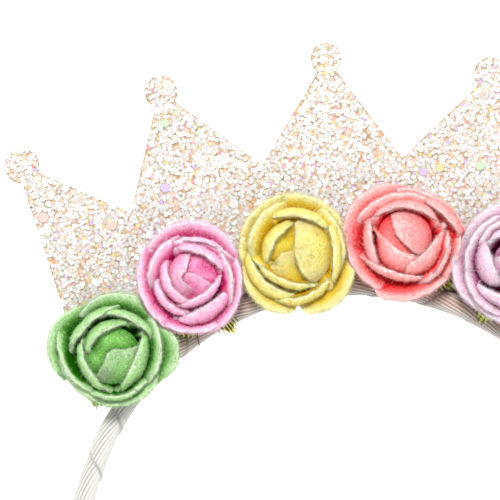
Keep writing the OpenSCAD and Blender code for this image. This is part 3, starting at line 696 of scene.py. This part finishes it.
# Adds one petal: a felt wall with a rounded rim, and for each point its painted light, from painted fold shade
# to face colour, and how pale its cut rim is, partly as painted highlight
def petal_mesh(centre, ring, row, points, faces, painted_light_levels, pale_rims, seed, over, fill):
    azimuth, half = row[:2]
    floor, rim_height, deepness, rim_fade = ring[1], ring[2], ring[4], ring[5]
    outermost = ring is RINGS["outer"]
    low, high = -1 - PETAL_LAP / half, 1 + PETAL_LAP / half
    if len(row) > 6:
        low, high = (-NOTCH_END, high) if row[6] < 0 else (low, NOTCH_END)
    rows = []
    for k in range(PETAL_ACROSS + 1):
        u = low + (high - low) * k / PETAL_ACROSS
        angle = math.radians(azimuth - PHOTO_TURN + half * u)
        thick = FELT_THICK * (1 - THIN_ENDS * abs(2 * k / PETAL_ACROSS - 1) ** 4) / 2
        faced = min(1, row[5]) * max(0, 1 - u * u) ** 0.5
        outer, inner, rim = [], [], []
        for j in range(PETAL_UP + 1):
            v = 1 - (1 - j / PETAL_UP) ** ROW_CROWDING
            r, z = petal_profile(ring, row, u, v)
            r1, z1 = petal_profile(ring, row, u, max(v, SLOPE_STEP))
            r2, z2 = petal_profile(ring, row, u, max(v, SLOPE_STEP) - SLOPE_STEP)
            length = math.hypot(r1 - r2, z1 - z2)
            nr, nz = (z1 - z2) / length, -(r1 - r2) / length
            here = Vector((r * math.cos(angle), r * math.sin(angle), z)) + seed
            soft = waves(here, THICK_WAVES) * v
            r += waves(here, DENT_WAVES) + waves(here, SWAY_WAVES) * v
            z += waves(here, RIM_WAVES) * v
            front = thick + soft
            # Painted shade: the colour darkens down each side of the wall into the folds, and the pale rim, partly
            # painted highlight, fades below the rim
            lit_share = LOW_WALL_LIGHT * (1 if outermost else part_way(v, 0.4, 0.25))
            outer.append((r + nr * front, z + nz * front, max(lit_share, part_way(v, 0.5, 0.95)),
                          faced * (0.25 * part_way(v, 0.6, 0.9) + 0.55 * part_way(v, 0.9, 1))))
            back = thick - soft + fill * part_way(v, 0.97, 0.7)
            inner.append((r - nr * back, z - nz * back, v ** deepness, max(0, 0.65 - rim_fade * (1 - v))))
        for q in range(1, RIM_STEPS):
            t = math.pi * q / RIM_STEPS
            over_rim = math.copysign(abs(math.cos(t)) ** 0.6, math.cos(t)) * thick + soft
            bulge = math.sin(t) ** 0.7 * thick * 0.5
            rim.append((r + nr * over_rim - nz * bulge, z + nz * over_rim + nr * bulge, 1,
                        1 if 1 < q < RIM_STEPS - 1 else 0.75))
        rows.append((angle, outer + rim + inner[::-1]))
    width = len(rows[0][1])
    base = len(points)
    for k, (angle, section) in enumerate(rows):
        # The petal's first end lies under its neighbour, so its colour is painted darker there as painted shade, and
        # its rim isn't painted pale
        tucked = max(0, abs(low) * (1 - k / PETAL_ACROSS) - 1) * half / PETAL_LAP
        for r, z, rise, pale in section:
            x, y = centre.x + r * MM * math.cos(angle), centre.y + r * MM * math.sin(angle)
            if over is not None and outermost:
                away = math.hypot(x - over.x, y - over.y) / MM
                z -= LAP_DROP * eased(part_way(away, LAP_REACH, LAP_REACH - LAP_FADE)) * rise
            points.append((x, y, z * MM))
            painted_light_levels.append(rise * (1 - 0.8 * tucked * part_way((z - floor) / (rim_height - floor), 0.3, 1.3)))
            pale_rims.append(pale * max(0, 1 - 1.4 * tucked))
    faces += tube_faces(PETAL_ACROSS, width, base)
    faces.append(tuple(base + j for j in range(width)))
    faces.append(tuple(base + PETAL_ACROSS * width + j for j in range(width - 1, -1, -1)))


# Height that folds and hollows add to a bud at a place, how much painted shade it takes, and how near it lies to a
# lap's edge, which is painted pale as painted highlight
def fold_rise(folds, hollows, x, y):
    total, shade, rim = 0, 0, 0
    for line, rise, wide in folds:
        best = None
        for (ax, ay), (bx, by) in zip(line, line[1:]):
            dx, dy = bx - ax, by - ay
            t = max(0, min(1, ((x - ax) * dx + (y - ay) * dy) / (dx * dx + dy * dy)))
            px, py = x - ax - t * dx, y - ay - t * dy
            d = math.hypot(px, py)
            if best is None or d < best[0]:
                best = (d, dx * py - dy * px)
        d = best[0] * ROSE_UNIT
        if best[1] < 0:
            total += rise * math.exp(-d / wide)
            rim = max(rim, math.exp(-d / 0.45), 0.65 * math.exp(-(d / wide) ** 2))
        else:
            total -= 0.6 * rise * math.exp(-d / (0.7 * wide))
            shade = max(shade, math.exp(-d / (0.5 + 0.5 * wide)))
    for hx, hy, radius, deep in hollows:
        near = math.exp(-((x - hx) ** 2 + (y - hy) ** 2) / radius ** 2)
        total -= deep * near
        shade = max(shade, min(1, deep) * near)
    return total, shade, rim


# Adds one bud: a cone of rolled felt that leans to its middle's place, and a dome with laps and hollows
def bud_mesh(centre, bud, points, faces, painted_light_levels, pale_rims):
    middle_x, middle_y, radius, folds, hollows = bud
    radius *= ROSE_UNIT
    turn = math.radians(PHOTO_TURN)
    shift_x = (middle_x * math.cos(turn) + middle_y * math.sin(turn)) * ROSE_UNIT
    shift_y = (middle_y * math.cos(turn) - middle_x * math.sin(turn)) * ROSE_UNIT
    cone = [(3.2, BUD_FOOT_Z), (3.9, BUD_WAIST_Z), (radius * 0.92, 11.4), (radius, BUD_SHOULDER_Z)]
    base = len(points)
    for r, z in cone:
        share = max(0, (z - BUD_WAIST_Z) / (BUD_SHOULDER_Z - BUD_WAIST_Z))
        for k in range(BUD_AROUND):
            a = 2 * math.pi * k / BUD_AROUND
            points.append((centre.x + (r * math.cos(a) + shift_x * share) * MM,
                           centre.y + (r * math.sin(a) + shift_y * share) * MM, z * MM))
            # The cone below the dome is painted in the deep fold colour, as painted shade
            painted_light_levels.append(0.2)
            pale_rims.append(0)
    for j in range(1, BUD_OUT):
        share = 1 - j / BUD_OUT
        r = radius * share ** 0.9
        for k in range(BUD_AROUND):
            a = 2 * math.pi * k / BUD_AROUND
            x, y = r * math.cos(a + turn) / ROSE_UNIT + middle_x, r * math.sin(a + turn) / ROSE_UNIT + middle_y
            dome = BUD_SHOULDER_Z + BUD_DOME * (1 - (r / radius) ** 2.6)
            fold, shade, rim = fold_rise(folds, hollows, x, y)
            z = dome + fold * (1 - share ** 6) + 0.12 * noise.noise(Vector((x, y, radius)) * 0.5)
            points.append((centre.x + (r * math.cos(a) + shift_x) * MM,
                           centre.y + (r * math.sin(a) + shift_y) * MM, z * MM))
            # Painted shade: darker towards the bud's rim, on the low sides of laps and in hollows; painted pale along
            # laps' edges
            painted_light_levels.append((0.45 + 0.45 * min(1, (1 - share) * 2.2)) * (1 - 0.5 * shade))
            pale_rims.append(0.7 * rim)
    rings = len(cone) + BUD_OUT - 1
    faces += tube_faces(rings - 1, BUD_AROUND, base, turned=True)
    faces.append(tuple(base + k for k in range(BUD_AROUND - 1, -1, -1)))
    faces.append(tuple(base + (rings - 1) * BUD_AROUND + k for k in range(BUD_AROUND)))


felts = {name: felt_material(name, *tones) for name, tones in FELT_COLOURS.items()}

fuzz, given = new_growth("felt_fibres", Fibres_each_area="Float", Length="Float", Width="Float", Seed="Int",
                         Finish="Material")
rise = add(fuzz, "GeometryNodeInputNamedAttribute", {"Name": "felt_painted_light"}, data_type="FLOAT")
edge = add(fuzz, "GeometryNodeInputNamedAttribute", {"Name": "felt_pale_rim_and_highlight"}, data_type="FLOAT")
high = add(fuzz, "ShaderNodeMapRange", {"Value": rise.outputs[0], "From Min": 0.45, "From Max": 0.95})
much = add(fuzz, "ShaderNodeMath", {0: edge.outputs[0], 1: 2.0, 2: high.outputs[0]}, operation="MULTIPLY_ADD")
much = add(fuzz, "ShaderNodeMath", {0: much.outputs[0], 1: given["Fibres each area"]}, operation="MULTIPLY")
scatter = add(fuzz, "GeometryNodeDistributePointsOnFaces",
              {"Mesh": given["Geometry"], "Density": much.outputs[0], "Seed": given["Seed"]},
              distribute_method="RANDOM")
fibre = add(fuzz, "GeometryNodeMeshCone",
            {"Vertices": 3, "Radius Top": 0.0, "Radius Bottom": given["Width"], "Depth": given["Length"]},
            fill_type="NONE")
bent = add(fuzz, "FunctionNodeRandomValue",
           {0: (-FIBRE_BEND, -FIBRE_BEND, 0), 1: (FIBRE_BEND, FIBRE_BEND, 6.28), "Seed": 3}, data_type="FLOAT_VECTOR")
turned = add(fuzz, "FunctionNodeRotateRotation",
             {"Rotation": scatter.outputs["Rotation"], "Rotate By": bent.outputs[0]}, rotation_space="LOCAL")
size = add(fuzz, "FunctionNodeRandomValue", {2: 0.4, 3: 1.3, "Seed": 4}, data_type="FLOAT")
placed = add(fuzz, "GeometryNodeInstanceOnPoints",
             {"Points": scatter.outputs["Points"], "Instance": fibre.outputs["Mesh"],
              "Rotation": turned.outputs[0], "Scale": size.outputs[1]})
loose = add(fuzz, "GeometryNodeRealizeInstances", {"Geometry": placed.outputs[0]})
# The loose fibres take a fixed pale rim share, partly painted highlight, and a fixed painted light level
for name, value in (("felt_pale_rim_and_highlight", 0.3), ("felt_painted_light", 0.8)):
    loose = add(fuzz, "GeometryNodeStoreNamedAttribute",
                {"Geometry": loose.outputs[0], "Name": name, "Value": value}, data_type="FLOAT", domain="POINT")
joined = add(fuzz, "GeometryNodeJoinGeometry")
fuzz.links.new(given["Geometry"], joined.inputs[0])
fuzz.links.new(loose.outputs[0], joined.inputs[0])
coated = add(fuzz, "GeometryNodeSetMaterial", {"Geometry": joined.outputs[0], "Material": given["Finish"]})
add(fuzz, "NodeGroupOutput", {"Geometry": coated.outputs[0]})


# The sixth rose's petals are the first one's, mirrored
def mirrored(row):
    return (180 + 2 * PHOTO_TURN - row[0], row[1], row[4], row[3], row[2], row[5])


spots = {rose: sum(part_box(rose + "_bud"), Vector()) / 2 for rose in ROSES}
for rose, next_rose in zip(ROSES, ROSES[1:] + (None,)):
    tone_name = rose.replace("far_", "")
    centre, over = spots[rose], spots.get(next_rose)
    for part in ("bud", "inner", "middle", "outer"):
        points, faces, painted_light_levels, pale_rims = [], [], [], []
        if part == "bud":
            bud_mesh(centre, BUDS[tone_name], points, faces, painted_light_levels, pale_rims)
        else:
            fill = 0 if part == "outer" else FOLD_FILL[tone_name]
            for k, row in enumerate(PETALS[tone_name][part]):
                seed = Vector((centre.x * 900, centre.y * 700, k * 7.3))
                petal_mesh(centre, RINGS[part], mirrored(row) if rose == "far_green" else row,
                           points, faces, painted_light_levels, pale_rims, seed, over, fill)
        petal_ring = new_object(f"{rose}_felt_{part}", points, faces, felts[tone_name])
        mark(petal_ring, "felt_painted_light", painted_light_levels)
        mark(petal_ring, "felt_pale_rim_and_highlight", pale_rims)
        grow(petal_ring, fuzz, Fibres_each_area=FIBRES, Length=FIBRE_LEN, Width=FIBRE_WIDTH, Seed=5,
             Finish=felts[tone_name])
        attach(petal_ring, "root")
        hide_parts(rose + ("_bud" if part == "bud" else f"_{part}_petals"))

# Leaves
# Small leaves folded from ribbon that is woven with gold-green metallic thread, glued under the roses so
# that only their frayed tips show on the band. Two loose threads of olive yarn lie by them.

LEAVES = ("leaf_1", "leaf_2", "leaf_3", "leaf_4", "leaf_5")
WARP_PITCH = 0.80
WEFT_PITCH = 0.45
FRAYED = 14
# A frayed thread in mm: how far back it starts, its half width, its height above the leaf at both ends and
# its own height, and its length past the leaf's edge with the part that varies
FRAY_BACK = 1.5
FRAY_HALF = 0.10
FRAY_LIFTS = (0.10, 0.02)
FRAY_TALL = 0.16
FRAY_REACH = (0.7, 0.8)
YARN_TWIST = 2.5 / MM
YARN_R = 0.13 * MM
# Loose threads: points in the frame in mm
THREADS = {
    "band_thread": ((-35.9, 21.4, 6.35), (-35.8, 19.8, 6.4), (-35.55, 18.3, 6.1), (-35.45, 17.5, 5.2)),
    "sheet_thread": ((-76.8, 54.0, 2.3), (-76.4, 53.8, 2.3), (-75.9, 54.3, 2.35), (-75.4, 54.2, 2.3)),
}

# Ribbon woven with flat metallic threads: yellow-green, with glints painted on the threads as painted highlight
# and the gaps between them painted dark as painted shade. The weave's stripes are drawn coarser than real so that
# they show
lame, tree, shader = new_material("woven_metallic_ribbon")
spread = add(tree, "ShaderNodeSeparateXYZ", {"Vector": add(tree, "ShaderNodeUVMap", uv_map="leaf").outputs[0]})
warp = add(tree, "ShaderNodeMath", {0: spread.outputs["X"], 1: math.tau / WARP_PITCH}, operation="MULTIPLY")
warp = add(tree, "ShaderNodeMath", {0: warp.outputs[0]}, operation="SINE")
weft = add(tree, "ShaderNodeMath", {0: spread.outputs["Y"], 1: math.tau / WEFT_PITCH}, operation="MULTIPLY")
weft = add(tree, "ShaderNodeMath", {0: weft.outputs[0]}, operation="SINE")
weave = add(tree, "ShaderNodeMath", {0: weft.outputs[0], 1: 0.5, 2: warp.outputs[0]}, operation="MULTIPLY_ADD")
level = add(tree, "ShaderNodeMapRange", {"Value": weave.outputs[0], "From Min": -1.5, "From Max": 1.5})
ramp = add(tree, "ShaderNodeValToRGB", {"Fac": level.outputs[0]},
           stops=((0.30, "#35350a"), (0.50, "#a3a92c"), (0.72, "#eef288")))
tree.links.new(ramp.outputs["Color"], shader.inputs["Base Color"])
bump = add(tree, "ShaderNodeBump", {"Height": weave.outputs[0], "Strength": 0.8, "Distance": 0.1 * MM})
tree.links.new(bump.outputs["Normal"], shader.inputs["Normal"])
shader.inputs["Metallic"].default_value = 0.15
shader.inputs["Roughness"].default_value = 0.4

for name in LEAVES:
    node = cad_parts[name]
    low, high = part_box(name)
    middle = (low + high) / 2
    away = (middle - min(spots.values(), key=lambda spot: (spot - middle).xy.length)).xy.normalized()
    beside = Vector((-away.y, away.x))
    corners = [v.co.xy for v in node.data.vertices]
    leaf_bm = bmesh.new()
    leaf_bm.from_mesh(node.data)
    bmesh.ops.remove_doubles(leaf_bm, verts=leaf_bm.verts, dist=0.001 * MM)
    plain = len(leaf_bm.faces)
    left, right = min(c.dot(beside) for c in corners), max(c.dot(beside) for c in corners)
    for k in range(FRAYED):
        at = left + (right - left) * (k + 0.5) / FRAYED
        tip = max(c.dot(away) - 0.9 * abs(c.dot(beside) - at) for c in corners)
        reach = (FRAY_REACH[0] + FRAY_REACH[1] * noise.noise(Vector((k * 3.7, middle.x * 900, 0)))) * MM
        slant = 0.3 * noise.noise(Vector((k * 2.3, 5, middle.y * 900)))
        ends = (away * (tip - FRAY_BACK * MM) + beside * at, away * (tip + reach) + beside * (at + slant * reach))
        ring = []
        for end, up in zip(ends, FRAY_LIFTS):
            for side, rise in ((-1, 0), (1, 0), (0, 1)):
                flat = end + beside * side * FRAY_HALF * MM
                ring.append(leaf_bm.verts.new((flat.x, flat.y, high.z + (up + FRAY_TALL * rise) * MM)))
        for j in range(3):
            leaf_bm.faces.new((ring[j], ring[(j + 1) % 3], ring[3 + (j + 1) % 3], ring[3 + j]))
        leaf_bm.faces.new((ring[2], ring[1], ring[0]))
        leaf_bm.faces.new(ring[3:])
    leaf_mesh = bpy.data.meshes.new("woven_" + name)
    leaf_bm.to_mesh(leaf_mesh)
    leaf_bm.free()
    leaf = link_new("woven_" + name, leaf_mesh)
    leaf_mesh.materials.append(lame)
    # The leaf's weave runs aslant, and a frayed thread keeps one tone of the weave's painted glint or shade, light
    # and dark in turn
    uv_layer = leaf_mesh.uv_layers.new(name="leaf")
    for face in leaf_mesh.polygons:
        for corner in face.loop_indices:
            co = leaf_mesh.vertices[leaf_mesh.loops[corner].vertex_index].co / MM
            thread = (face.index - plain) // 5
            uv_layer.data[corner].uv = ((co.x * 0.8 + co.y * 0.6, co.y * 0.8 - co.x * 0.6) if face.index < plain
                                        else (0.2 + 0.4 * (thread % 2), 0.11))
    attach(leaf, "root")
    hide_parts(name)

# Twisted yarn: dull olive with darker turns
yarn, tree, shader = new_material("olive_yarn")
place = add(tree, "ShaderNodeTexCoord").outputs["Object"]
twist = add(tree, "ShaderNodeTexNoise", {"Vector": place, "Scale": YARN_TWIST, "Detail": 2})
ramp = add(tree, "ShaderNodeValToRGB", {"Fac": twist.outputs["Fac"]}, stops=((0.35, "#2c2712"), (0.65, "#5b5228")))
tree.links.new(ramp.outputs["Color"], shader.inputs["Base Color"])
shader.inputs["Roughness"].default_value = 0.7
for name, line in THREADS.items():
    thread_mesh = bpy.data.meshes.new(name)
    thread_mesh.from_pydata([tuple(c * MM for c in point) for point in line], [(0, 1), (1, 2), (2, 3)], [])
    thread = link_new(name, thread_mesh)
    grow(thread, bead_tree, Thickness=YARN_R, Finish=yarn)
    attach(thread, "root")
